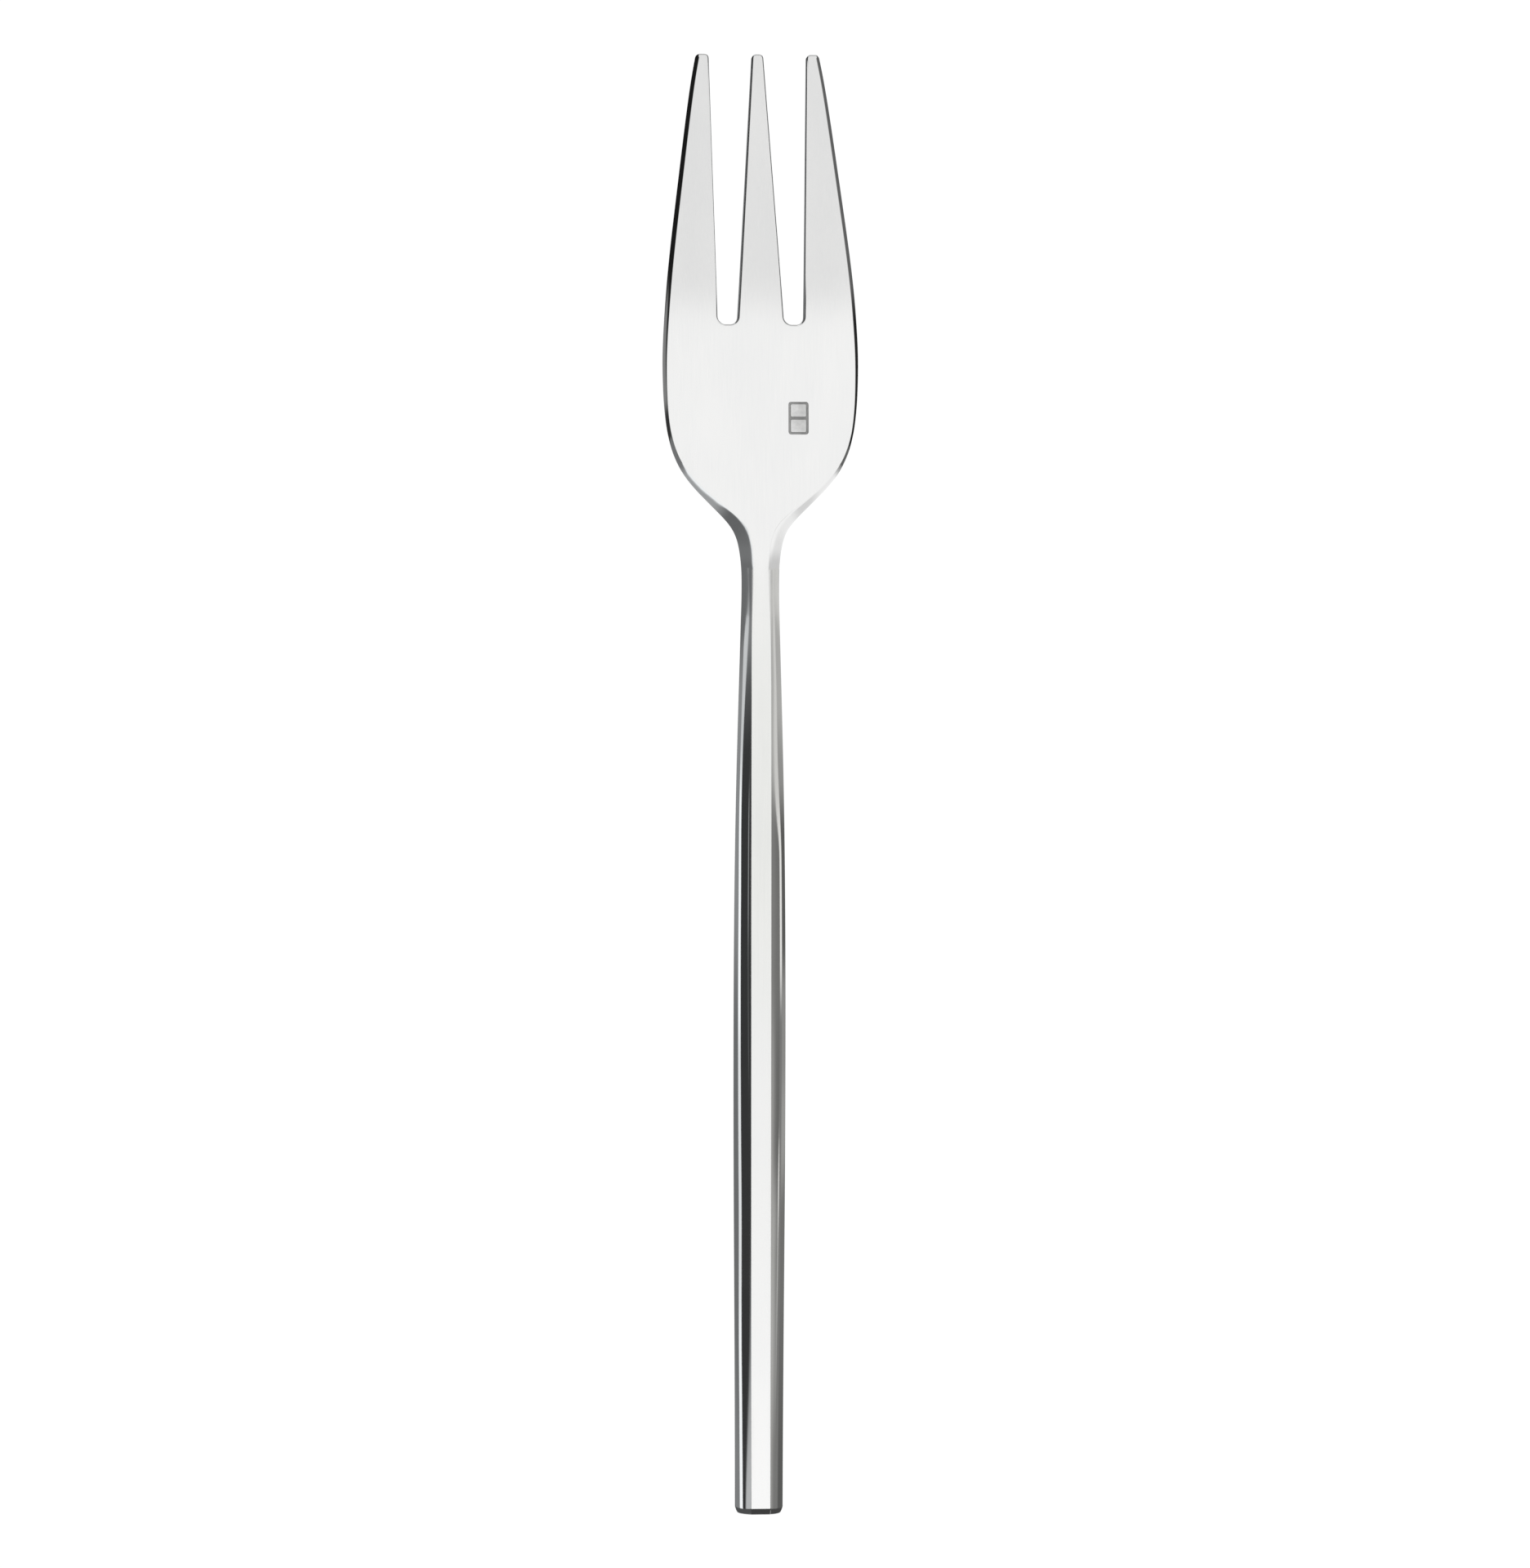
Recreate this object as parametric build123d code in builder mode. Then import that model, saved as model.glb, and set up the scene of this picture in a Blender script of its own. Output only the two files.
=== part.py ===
from build123d import *
import math
import os

os.makedirs("parts", exist_ok=True)

# Pastry fork, millimetres. It lies on its face: the tine tips and the butt of the
# handle touch z = 0, and the back of the fork is up. +Y runs from the butt to the
# tips, X is across, and x = 0 is the plane of symmetry.

# ---------------------------------------------------------------- driving dimensions
LENGTH = 150.0                # overall, butt to tips
BUTT_Y = -LENGTH / 2
TIP_Y = LENGTH / 2
JOINT_Y = 17.0                # where the neck of the head meets the handle shells

# Half width of the whole outline: (Y, half width)
HALF_WIDTH = [
    (-75, 2.455), (-70, 2.468), (-65, 2.487), (-60, 2.513), (-55, 2.545), (-50, 2.581),
    (-45, 2.616), (-40, 2.645), (-35, 2.666), (-30, 2.677), (-25, 2.677), (-20, 2.666),
    (-15, 2.640), (-10, 2.595), (-5, 2.528), (0, 2.436), (5, 2.317), (9, 2.208),
    (13, 2.093), (17, 1.985), (18, 1.955), (19, 1.933), (20, 1.922), (21, 1.927),
    (22, 1.965), (23, 2.055), (24, 2.205), (25, 2.460), (26, 2.935), (27, 3.715),
    (28, 4.695), (29, 5.705), (30, 6.675), (31, 7.520), (32, 8.200), (33, 8.715),
    (34, 9.105), (35, 9.390), (36, 9.605), (37, 9.755), (38, 9.865), (39, 9.945),
    (41, 10.035), (43, 10.065), (45, 10.020), (47, 9.915), (50, 9.700), (53, 9.410),
    (56, 9.062), (60, 8.552), (64, 8.034), (68, 7.502), (71, 7.072), (73, 6.744), (75, 6.360),
]
# Side strip of the head, seen in plan: (Y, half width less half width of the flat)
STRIP = [
    (17, 0.960), (18, 0.945), (19, 0.935), (20, 0.935), (21, 0.945), (22, 0.970), (23, 1.030),
    (24, 1.140), (25, 1.300), (26, 1.460), (27, 1.420), (28, 1.130), (29, 0.820), (30, 0.610),
    (31, 0.470), (32, 0.378), (33, 0.320), (34, 0.290), (35, 0.278), (36, 0.277), (37, 0.283),
    (39, 0.310), (41, 0.345), (44, 0.390), (47, 0.418), (50, 0.431), (53, 0.436), (56, 0.435),
    (60, 0.430), (64, 0.424), (68, 0.415), (71, 0.405), (73, 0.395), (75, 0.380),
]

# Thickness of the head: (Y, thickness)
THICKNESS = [
    (13, 3.270), (15, 3.235), (17, 3.200), (19, 3.180), (21, 3.200), (23, 3.265), (25, 3.310),
    (27, 3.160), (29, 2.780), (31, 2.400), (33, 2.140), (35, 2.000), (37, 1.930), (40, 1.870),
    (45, 1.790), (50, 1.710), (55, 1.630), (60, 1.550), (65, 1.470), (70, 1.390), (75, 1.310),
]

# Handle: a bar with a narrow flat above and below and bowed flanks, thinner towards the neck
BUTT_HALF_T, JOINT_HALF_T = 2.4, 1.6   # half thickness, centre to either flat, at its two ends
FLAT_HALF_W = 1.025           # half width of each flat
AXIS_SLOPE = 0.998            # degrees, rising from the butt to the neck
FLAT_SLOPE = 0.5              # degrees, of the upper flat
WALL = 0.70                   # pressed shell
GAP = 0.03                    # bedding gap between the filler and its neighbours
TRIM = 0.03                   # stock left above each flat before it is cut plane

# Slope of the head's back, in degrees: blade, then tines, and where each turn runs
BLADE_SLOPE, TINE_SLOPE = -1.7, -7.925
NECK_TURN, TINE_TURN = (17.0, 31.0), (43.5, 54.5)

# End cap
CAP_T = 1.0                   # plate thickness along the handle
CAP_BEVEL_L, CAP_BEVEL_W = 0.65, 0.25   # bevel of its outer rim, along the handle and across it
SPIGOT_L = 3.0                # reach into the handle
SPIGOT_GAP = 0.04

# Tang of the head inside the handle
TANG_L, TANG_W, TANG_T = 30.0, 1.6, 1.1

# Two tapered slots between the tines, one each side of the axis
SLOT_BOTTOM_Y = 46.90
SLOT_ROUND = 0.85             # corner radius at the bottom of a slot
MID_TINE_TIP_X, MID_TINE_ROOT_X = 0.560, 2.385   # inner wall of a slot, from the axis
OUT_TINE_TIP_X, OUT_TINE_ROOT_X = 5.070, 4.450   # outer wall of a slot, from the axis
TIP_ROUND = 0.44              # corners of the tine tips
SLOT_EDGE = 0.20              # broken edges along the slots

# Shallow blank cartouche on the back of the blade
MARK_X, MARK_Y, MARK_W, MARK_H, MARK_DEPTH, MARK_ROUND = 3.82, 37.3, 2.0, 3.3, 0.10, 0.25

# ---------------------------------------------------------------- smooth curves
def smooth(table):
    """Natural cubic spline through a table of (position, value)."""
    xs = [p[0] for p in table]
    ys = [p[1] for p in table]
    n = len(xs)
    gaps = [xs[i + 1] - xs[i] for i in range(n - 1)]
    lower, bend = [0.0] * n, [0.0] * n
    for i in range(1, n - 1):
        pivot = 2 * (xs[i + 1] - xs[i - 1]) - gaps[i - 1] * lower[i - 1]
        lower[i] = gaps[i] / pivot
        rise = 3 * ((ys[i + 1] - ys[i]) / gaps[i] - (ys[i] - ys[i - 1]) / gaps[i - 1])
        bend[i] = (rise - gaps[i - 1] * bend[i - 1]) / pivot
    second = [0.0] * n
    for i in range(n - 2, 0, -1):
        second[i] = bend[i] - lower[i] * second[i + 1]

    def value(x):
        i = max(0, min(n - 2, sum(1 for k in xs if k <= x) - 1))
        t = x - xs[i]
        first = (ys[i + 1] - ys[i]) / gaps[i] - gaps[i] * (2 * second[i] + second[i + 1]) / 3
        return ys[i] + t * (first + t * (second[i] + t * (second[i + 1] - second[i]) / (3 * gaps[i])))

    return value


def ease(x, span):
    """0 before the span, 1 after it, with no kink at either end."""
    t = max(0.0, min(1.0, (x - span[0]) / (span[1] - span[0])))
    return t * t * t * (t * (6 * t - 15) + 10)


half_width = smooth(HALF_WIDTH)
strip_width = smooth(STRIP)
thickness = smooth(THICKNESS)


def handle_half_t(y):
    """Half thickness of the handle at Y, square to its axis."""
    return BUTT_HALF_T + (JOINT_HALF_T - BUTT_HALF_T) * (y - BUTT_Y) / (JOINT_Y - BUTT_Y)


slope = math.radians(AXIS_SLOPE)
along = Vector(0, math.cos(slope), math.sin(slope))
upward = Vector(0, -math.sin(slope), math.cos(slope))
# the handle lies on the edge of the butt's bevel
butt_z = handle_half_t(BUTT_Y + CAP_BEVEL_L) * math.cos(slope) - CAP_BEVEL_L * math.tan(slope)


def axis_point(y):
    """Point of the handle's centre line at Y."""
    return (0, y, butt_z + (y - BUTT_Y) * math.tan(slope))


def back_slope(y):
    """Slope of the head's back at Y, in degrees."""
    turn = (BLADE_SLOPE - FLAT_SLOPE) * ease(y, NECK_TURN)
    return FLAT_SLOPE + turn + (TINE_SLOPE - BLADE_SLOPE) * ease(y, TINE_TURN)


STEPS = 2320                  # of 0.025 mm, along the head
joint_top = Vector(*axis_point(JOINT_Y)) + upward * JOINT_HALF_T
rise_at = [joint_top.Z + (JOINT_Y - joint_top.Y) * math.tan(math.radians(FLAT_SLOPE))]
for k in range(STEPS):
    here = JOINT_Y + (k + 0.5) * (TIP_Y - JOINT_Y) / STEPS
    rise_at.append(rise_at[-1] + math.tan(math.radians(back_slope(here))) * (TIP_Y - JOINT_Y) / STEPS)


def back_z(y):
    """Height of the head's back at Y."""
    return rise_at[round((y - JOINT_Y) / (TIP_Y - JOINT_Y) * STEPS)]


def handle_plane(y):
    """Plane square to the handle at Y, its local y upwards."""
    return Plane(origin=axis_point(y), x_dir=(-1, 0, 0), z_dir=along)


def flank_radius(y):
    """Radius of the bowed flank at Y."""
    bow = half_width(y) - FLAT_HALF_W
    return (handle_half_t(y) ** 2 + bow**2) / (2 * bow)


def flank_x(y, height, inset=0.0):
    """Where the bowed flank at Y, moved in by inset, stands at a height off the centre line."""
    radius = flank_radius(y)
    return half_width(y) - radius + math.sqrt((radius - inset) ** 2 - height**2)


def lofted_half_t(y):
    """Half thickness to which a shell is lofted, a little past the flat that it is split at."""
    return handle_half_t(y) + min(TRIM, 0.6 * (flank_radius(y) - handle_half_t(y)))


def flat_plane(side):
    """Plane of the upper flat, side 1, or of the lower one, side -1, facing out."""
    near = Vector(*axis_point(JOINT_Y)) + upward * side * handle_half_t(JOINT_Y)
    far = Vector(*axis_point(BUTT_Y)) + upward * side * handle_half_t(BUTT_Y)
    run = (near - far).normalized()
    return Plane(origin=(near + far) / 2, x_dir=(1, 0, 0), z_dir=Vector(0, -run.Z, run.Y) * side)


joint_plane = handle_plane(JOINT_Y)
cap_y = BUTT_Y + CAP_T        # where the shells end and the cap begins
upper_flat, lower_flat = flat_plane(1), flat_plane(-1)
middle = Plane(origin=axis_point(0), x_dir=(1, 0, 0), z_dir=upward)

HEAD_SPANS = 58               # sections of the head, 1 mm apart
SHELL_SPANS = 20
shell_ys = [JOINT_Y + (cap_y - JOINT_Y) * k / SHELL_SPANS for k in range(SHELL_SPANS + 1)]
filler_end_y = cap_y + SPIGOT_L + GAP
filler_ys = [JOINT_Y - GAP + (filler_end_y - JOINT_Y + GAP) * k / SHELL_SPANS for k in range(SHELL_SPANS + 1)]

# ---------------------------------------------------------------- head with its tang
with BuildPart() as fork_head:
    for k in range(HEAD_SPANS + 1):
        y = JOINT_Y + (TIP_Y - JOINT_Y) * k / HEAD_SPANS
        half_w = half_width(y)
        flat = half_w - strip_width(y)
        half_t = thickness(y) / 2
        station = joint_plane
        if k > 0:
            station = Plane(origin=(0, y, back_z(y) - half_t), x_dir=(-1, 0, 0), z_dir=(0, 1, 0))
        with BuildSketch(station):
            with BuildLine():
                Line((-flat, half_t), (flat, half_t))
                ThreePointArc((flat, half_t), (half_w, 0), (flat, -half_t))
                Line((flat, -half_t), (-flat, -half_t))
                ThreePointArc((-flat, -half_t), (-half_w, 0), (-flat, half_t))
            make_face()
    loft()
    # slots between the tines
    for side in (-1, 1):
        with BuildSketch(Plane.XY.offset(-1)):
            with BuildLine():
                run = (TIP_Y + 2 - SLOT_BOTTOM_Y) / (TIP_Y - SLOT_BOTTOM_Y)
                mouth_in = MID_TINE_ROOT_X + (MID_TINE_TIP_X - MID_TINE_ROOT_X) * run
                mouth_out = OUT_TINE_ROOT_X + (OUT_TINE_TIP_X - OUT_TINE_ROOT_X) * run
                FilletPolyline(
                    (side * mouth_in, TIP_Y + 2),
                    (side * MID_TINE_ROOT_X, SLOT_BOTTOM_Y),
                    (side * OUT_TINE_ROOT_X, SLOT_BOTTOM_Y),
                    (side * mouth_out, TIP_Y + 2),
                    radius=SLOT_ROUND,
                )
                Line((side * mouth_out, TIP_Y + 2), (side * mouth_in, TIP_Y + 2))
            make_face()
        extrude(amount=9, mode=Mode.SUBTRACT)
    # rounded corners of the tine tips, then broken edges along the slots and over the tips
    corners = fork_head.edges().filter_by(Axis.Z).filter_by(lambda e: e.center().Y > TIP_Y - 0.01)
    fillet(corners, TIP_ROUND)
    rims = fork_head.edges().filter_by(
        lambda e: e.center().Y > SLOT_BOTTOM_Y - 0.5 and abs(e.center().X) < 6.0 and abs(e.tangent_at(0.5).Z) < 0.5
    )
    fillet(rims, SLOT_EDGE)

    # blank cartouche, sunk along the back of the blade
    tilt = math.tan(math.radians(back_slope(MARK_Y)))
    with BuildSketch(Plane(origin=(MARK_X, MARK_Y, back_z(MARK_Y) - MARK_DEPTH), x_dir=(1, 0, 0), z_dir=(0, -tilt, 1))):
        RectangleRounded(MARK_W, MARK_H, MARK_ROUND)
    extrude(amount=1, mode=Mode.SUBTRACT)
    # tang
    with BuildSketch(joint_plane):
        Rectangle(TANG_W, TANG_T)
    extrude(amount=-TANG_L)

fork_head.part.label = "fork_head"
export_step(fork_head.part, "parts/fork_head.step")

# ---------------------------------------------------------------- handle shells
with BuildPart() as handle_upper_shell:
    for y in shell_ys:
        with BuildSketch(handle_plane(y)):
            with BuildLine():
                h = lofted_half_t(y)
                w = half_width(y)
                x = flank_x(y, h)
                Line((-x, h), (x, h))
                ThreePointArc((x, h), (w, 0), (x, -h))
                Line((x, -h), (-x, -h))
                ThreePointArc((-x, -h), (-w, 0), (-x, h))
            make_face()
    loft()
    split(bisect_by=upper_flat, keep=Keep.BOTTOM)
    split(bisect_by=middle, keep=Keep.TOP)
    for y in shell_ys:
        with BuildSketch(handle_plane(y)):
            with BuildLine():
                h = handle_half_t(y) - WALL
                w = half_width(y) - WALL
                x = flank_x(y, h, WALL)
                Line((-x, h), (x, h))
                ThreePointArc((x, h), (w, 0), (x, -h))
                Line((x, -h), (-x, -h))
                ThreePointArc((-x, -h), (-w, 0), (-x, h))
            make_face()
    loft(mode=Mode.SUBTRACT)

handle_upper_shell.part.label = "handle_upper_shell"
export_step(handle_upper_shell.part, "parts/handle_upper_shell.step")

with BuildPart() as handle_lower_shell:
    for y in shell_ys:
        with BuildSketch(handle_plane(y)):
            with BuildLine():
                h = lofted_half_t(y)
                w = half_width(y)
                x = flank_x(y, h)
                Line((-x, h), (x, h))
                ThreePointArc((x, h), (w, 0), (x, -h))
                Line((x, -h), (-x, -h))
                ThreePointArc((-x, -h), (-w, 0), (-x, h))
            make_face()
    loft()
    split(bisect_by=lower_flat, keep=Keep.BOTTOM)
    split(bisect_by=middle, keep=Keep.BOTTOM)
    for y in shell_ys:
        with BuildSketch(handle_plane(y)):
            with BuildLine():
                h = handle_half_t(y) - WALL
                w = half_width(y) - WALL
                x = flank_x(y, h, WALL)
                Line((-x, h), (x, h))
                ThreePointArc((x, h), (w, 0), (x, -h))
                Line((x, -h), (-x, -h))
                ThreePointArc((-x, -h), (-w, 0), (-x, h))
            make_face()
    loft(mode=Mode.SUBTRACT)

handle_lower_shell.part.label = "handle_lower_shell"
export_step(handle_lower_shell.part, "parts/handle_lower_shell.step")

# ---------------------------------------------------------------- filler round the tang
with BuildPart() as handle_filler:
    for y in filler_ys:
        with BuildSketch(handle_plane(y)):
            with BuildLine():
                h = handle_half_t(y) - WALL - GAP
                w = half_width(y) - WALL - GAP
                x = flank_x(y, h, WALL + GAP)
                Line((-x, h), (x, h))
                ThreePointArc((x, h), (w, 0), (x, -h))
                Line((x, -h), (-x, -h))
                ThreePointArc((-x, -h), (-w, 0), (-x, h))
            make_face()
    loft()
    # pocket of the tang
    with BuildSketch(joint_plane):
        Rectangle(TANG_W + 2 * GAP, TANG_T + 2 * GAP)
    extrude(amount=-(TANG_L + GAP), mode=Mode.SUBTRACT)

handle_filler.part.label = "handle_filler"
export_step(handle_filler.part, "parts/handle_filler.step")

# ---------------------------------------------------------------- end cap
with BuildPart() as end_cap:
    for y, inset in ((cap_y, 0.0), (BUTT_Y + CAP_BEVEL_L, 0.0), (BUTT_Y, CAP_BEVEL_W)):
        with BuildSketch(handle_plane(y)):
            with BuildLine():
                h = handle_half_t(y) - inset
                w = half_width(y) - inset
                x = flank_x(y, h, inset)
                Line((-x, h), (x, h))
                ThreePointArc((x, h), (w, 0), (x, -h))
                Line((x, -h), (-x, -h))
                ThreePointArc((-x, -h), (-w, 0), (-x, h))
            make_face()
    loft(ruled=True)
    # spigot inside the shells
    with BuildSketch(handle_plane(cap_y)):
        with BuildLine():
            h = handle_half_t(cap_y) - WALL - SPIGOT_GAP
            w = half_width(cap_y) - WALL - SPIGOT_GAP
            x = flank_x(cap_y, h, WALL + SPIGOT_GAP)
            Line((-x, h), (x, h))
            ThreePointArc((x, h), (w, 0), (x, -h))
            Line((x, -h), (-x, -h))
            ThreePointArc((-x, -h), (-w, 0), (-x, h))
        make_face()
    extrude(amount=SPIGOT_L)

end_cap.part.label = "end_cap"
export_step(end_cap.part, "parts/end_cap.step")
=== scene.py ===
import math

import bpy
import numpy as np
from mathutils import Matrix
from mathutils.geometry import delaunay_2d_cdt


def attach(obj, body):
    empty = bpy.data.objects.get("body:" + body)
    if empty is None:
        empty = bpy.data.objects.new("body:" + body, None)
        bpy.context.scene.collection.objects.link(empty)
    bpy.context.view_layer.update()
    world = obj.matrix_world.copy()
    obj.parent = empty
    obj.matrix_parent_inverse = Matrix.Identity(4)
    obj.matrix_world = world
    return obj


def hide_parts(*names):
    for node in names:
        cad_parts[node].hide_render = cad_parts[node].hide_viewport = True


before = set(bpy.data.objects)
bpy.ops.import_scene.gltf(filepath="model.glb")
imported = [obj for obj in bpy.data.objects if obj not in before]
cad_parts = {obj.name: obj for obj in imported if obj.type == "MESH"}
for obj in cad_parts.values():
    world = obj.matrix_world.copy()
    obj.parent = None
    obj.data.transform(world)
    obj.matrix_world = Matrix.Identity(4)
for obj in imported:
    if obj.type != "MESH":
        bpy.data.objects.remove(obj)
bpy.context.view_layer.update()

# Pastry fork in polished steel, lying on its face with its back up. Shapes are worked out
# in millimetres, in the row frame: +Y runs from the butt to the tips, x = 0 is the plane of
# symmetry, and the tine tips and the butt touch z = 0.

# ================================================================ dimensions, as in the CAD
BUTT_Y, JOINT_Y, TIP_Y = -75.0, 17.0, 75.0

HALF_WIDTH = [
    (-75, 2.455), (-70, 2.468), (-65, 2.487), (-60, 2.513), (-55, 2.545), (-50, 2.581),
    (-45, 2.616), (-40, 2.645), (-35, 2.666), (-30, 2.677), (-25, 2.677), (-20, 2.666),
    (-15, 2.640), (-10, 2.595), (-5, 2.528), (0, 2.436), (5, 2.317), (9, 2.208),
    (13, 2.093), (17, 1.985), (18, 1.955), (19, 1.933), (20, 1.922), (21, 1.927),
    (22, 1.965), (23, 2.055), (24, 2.205), (25, 2.460), (26, 2.935), (27, 3.715),
    (28, 4.695), (29, 5.705), (30, 6.675), (31, 7.520), (32, 8.200), (33, 8.715),
    (34, 9.105), (35, 9.390), (36, 9.605), (37, 9.755), (38, 9.865), (39, 9.945),
    (41, 10.035), (43, 10.065), (45, 10.020), (47, 9.915), (50, 9.700), (53, 9.410),
    (56, 9.062), (60, 8.552), (64, 8.034), (68, 7.502), (71, 7.072), (73, 6.744), (75, 6.360),
]
STRIP = [
    (17, 0.960), (18, 0.945), (19, 0.935), (20, 0.935), (21, 0.945), (22, 0.970), (23, 1.030),
    (24, 1.140), (25, 1.300), (26, 1.460), (27, 1.420), (28, 1.130), (29, 0.820), (30, 0.610),
    (31, 0.470), (32, 0.378), (33, 0.320), (34, 0.290), (35, 0.278), (36, 0.277), (37, 0.283),
    (39, 0.310), (41, 0.345), (44, 0.390), (47, 0.418), (50, 0.431), (53, 0.436), (56, 0.435),
    (60, 0.430), (64, 0.424), (68, 0.415), (71, 0.405), (73, 0.395), (75, 0.380),
]
THICKNESS = [
    (13, 3.270), (15, 3.235), (17, 3.200), (19, 3.180), (21, 3.200), (23, 3.265), (25, 3.310),
    (27, 3.160), (29, 2.780), (31, 2.400), (33, 2.140), (35, 2.000), (37, 1.930), (40, 1.870),
    (45, 1.790), (50, 1.710), (55, 1.630), (60, 1.550), (65, 1.470), (70, 1.390), (75, 1.310),
]

BUTT_HALF_T, JOINT_HALF_T, FLAT_HALF_W, WALL = 2.4, 1.6, 1.025, 0.70
AXIS_SLOPE, FLAT_SLOPE, BLADE_SLOPE, TINE_SLOPE = 0.998, 0.5, -1.7, -7.925
NECK_TURN, TINE_TURN = (17.0, 31.0), (43.5, 54.5)
CAP_T, CAP_BEVEL_L, CAP_BEVEL_W, SPIGOT_L, SPIGOT_GAP = 1.0, 0.65, 0.25, 3.0, 0.04
TANG_L, TANG_W, TANG_T = 30.0, 1.6, 1.1
SLOT_BOTTOM_Y, SLOT_ROUND, SLOT_EDGE = 46.90, 0.85, 0.20
MID_TIP_X, MID_ROOT_X, OUT_TIP_X, OUT_ROOT_X = 0.560, 2.385, 5.070, 4.450
TIP_ROUND, MID_TIP_ROUND = 0.44, 0.44
MARK_X, MARK_Y, MARK_W, MARK_H, MARK_DEPTH, MARK_ROUND = 3.82, 37.3, 2.0, 3.3, 0.10, 0.25
CREASE = [                    # rounding of the crease beside the back: (Y, radius)
    (-75, 0.25), (0, 0.25), (10, 0.30), (15, 0.50), (18, 0.75), (21, 1.00), (24, 1.15),
    (27, 1.15), (30, 0.50), (33, 0.20), (36, 0.12), (45, 0.12), (60, 0.18), (75, 0.18),
]


# ================================================================ curves of the shape
def smooth(table):
    """Natural cubic spline through a table of (position, value)."""
    xs, ys = np.array(table, float).T
    n, gap = len(xs), np.diff(xs)
    left, right = np.eye(n), np.zeros(n)
    for i in range(1, n - 1):
        left[i, i - 1:i + 2] = gap[i - 1], 2 * (gap[i - 1] + gap[i]), gap[i]
        right[i] = 3 * ((ys[i + 1] - ys[i]) / gap[i] - (ys[i] - ys[i - 1]) / gap[i - 1])
    second = np.linalg.solve(left, right)

    def value(x):
        x = np.asarray(x, float)
        i = np.clip(np.searchsorted(xs, x, side="right") - 1, 0, n - 2)
        t = x - xs[i]
        first = (ys[i + 1] - ys[i]) / gap[i] - gap[i] * (2 * second[i] + second[i + 1]) / 3
        return ys[i] + t * (first + t * (second[i] + t * (second[i + 1] - second[i]) / (3 * gap[i])))

    return value


def ease(x, span):
    """0 before the span, 1 after it, with no kink at either end."""
    t = np.clip((np.asarray(x, float) - span[0]) / (span[1] - span[0]), 0.0, 1.0)
    return t * t * t * (t * (6 * t - 15) + 10)


half_width, strip_width, thickness = smooth(HALF_WIDTH), smooth(STRIP), smooth(THICKNESS)
tilt = math.radians(AXIS_SLOPE)
ALONG = np.array([0.0, math.cos(tilt), math.sin(tilt)])      # butt to neck, along the handle
UP = np.array([0.0, -math.sin(tilt), math.cos(tilt)])        # square to the handle's axis
ACROSS = np.array([1.0, 0.0, 0.0])
def crease(y):
    """Rounding of the crease beside the back at Y."""
    return float(np.interp(y, *np.array(CREASE, float).T))


def handle_half_t(y):
    """Half thickness of the handle at Y, square to its axis."""
    return BUTT_HALF_T + (JOINT_HALF_T - BUTT_HALF_T) * (y - BUTT_Y) / (JOINT_Y - BUTT_Y)


# the handle lies on the edge of the butt's bevel
BUTT_Z = handle_half_t(BUTT_Y + CAP_BEVEL_L) * math.cos(tilt) - CAP_BEVEL_L * math.tan(tilt)


def axis_point(y):
    """Point of the handle's centre line at Y."""
    return np.array([0.0, y, BUTT_Z + (y - BUTT_Y) * math.tan(tilt)])


def back_slope(y):
    """Slope of the head's back at Y, in degrees."""
    turn = (BLADE_SLOPE - FLAT_SLOPE) * ease(y, NECK_TURN)
    return FLAT_SLOPE + turn + (TINE_SLOPE - BLADE_SLOPE) * ease(y, TINE_TURN)


fine_y = np.linspace(JOINT_Y, TIP_Y, 2321)
fine_rise = np.tan(np.radians(back_slope((fine_y[:-1] + fine_y[1:]) / 2))) * np.diff(fine_y)
JOINT_TOP = axis_point(JOINT_Y) + JOINT_HALF_T * UP            # middle of the back where the shells end
fine_z = np.concatenate([[0.0], np.cumsum(fine_rise)])
fine_z += JOINT_TOP[2] + (JOINT_Y - JOINT_TOP[1]) * math.tan(math.radians(FLAT_SLOPE))


def back_z(y):
    """Height of the head's back at Y."""
    y = np.asarray(y, float)
    return np.interp(y, fine_y, fine_z) + np.minimum(y - JOINT_Y, 0.0) * math.tan(math.radians(FLAT_SLOPE))


def front_z(y):
    """Height of the head's front, its lower face here, at Y."""
    return back_z(y) - thickness(y)


# ================================================================ mesh tools
def unit(v):
    return v / (np.linalg.norm(v, axis=-1, keepdims=True) + 1e-15)


def tangents(grid, axis, closed=False):
    """Direction of a grid's lines along one axis, from each point and its two neighbours."""
    p = np.moveaxis(grid, axis, 0)
    if closed:
        p = np.concatenate([p[-2:], p, p[:2]])
    step = np.linalg.norm(np.diff(p, axis=0), axis=-1, keepdims=True) + 1e-12
    run = np.diff(p, axis=0) / step
    t = np.empty_like(p)
    t[1:-1] = (run[:-1] * step[1:] + run[1:] * step[:-1]) / (step[:-1] + step[1:])
    t[0], t[-1] = 2 * run[0] - t[1], 2 * run[-1] - t[-2]
    if closed:
        t = t[2:-2]
    return np.moveaxis(t, 0, axis)


def grid_normals(grid, outward, closed=False):
    """Shading normals of a grid of points; outward is a rough direction, for their sign."""
    n = unit(np.cross(tangents(grid, 0), tangents(grid, 1, closed)))
    return n if (n * outward).sum(-1).mean() > 0 else -n


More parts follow.
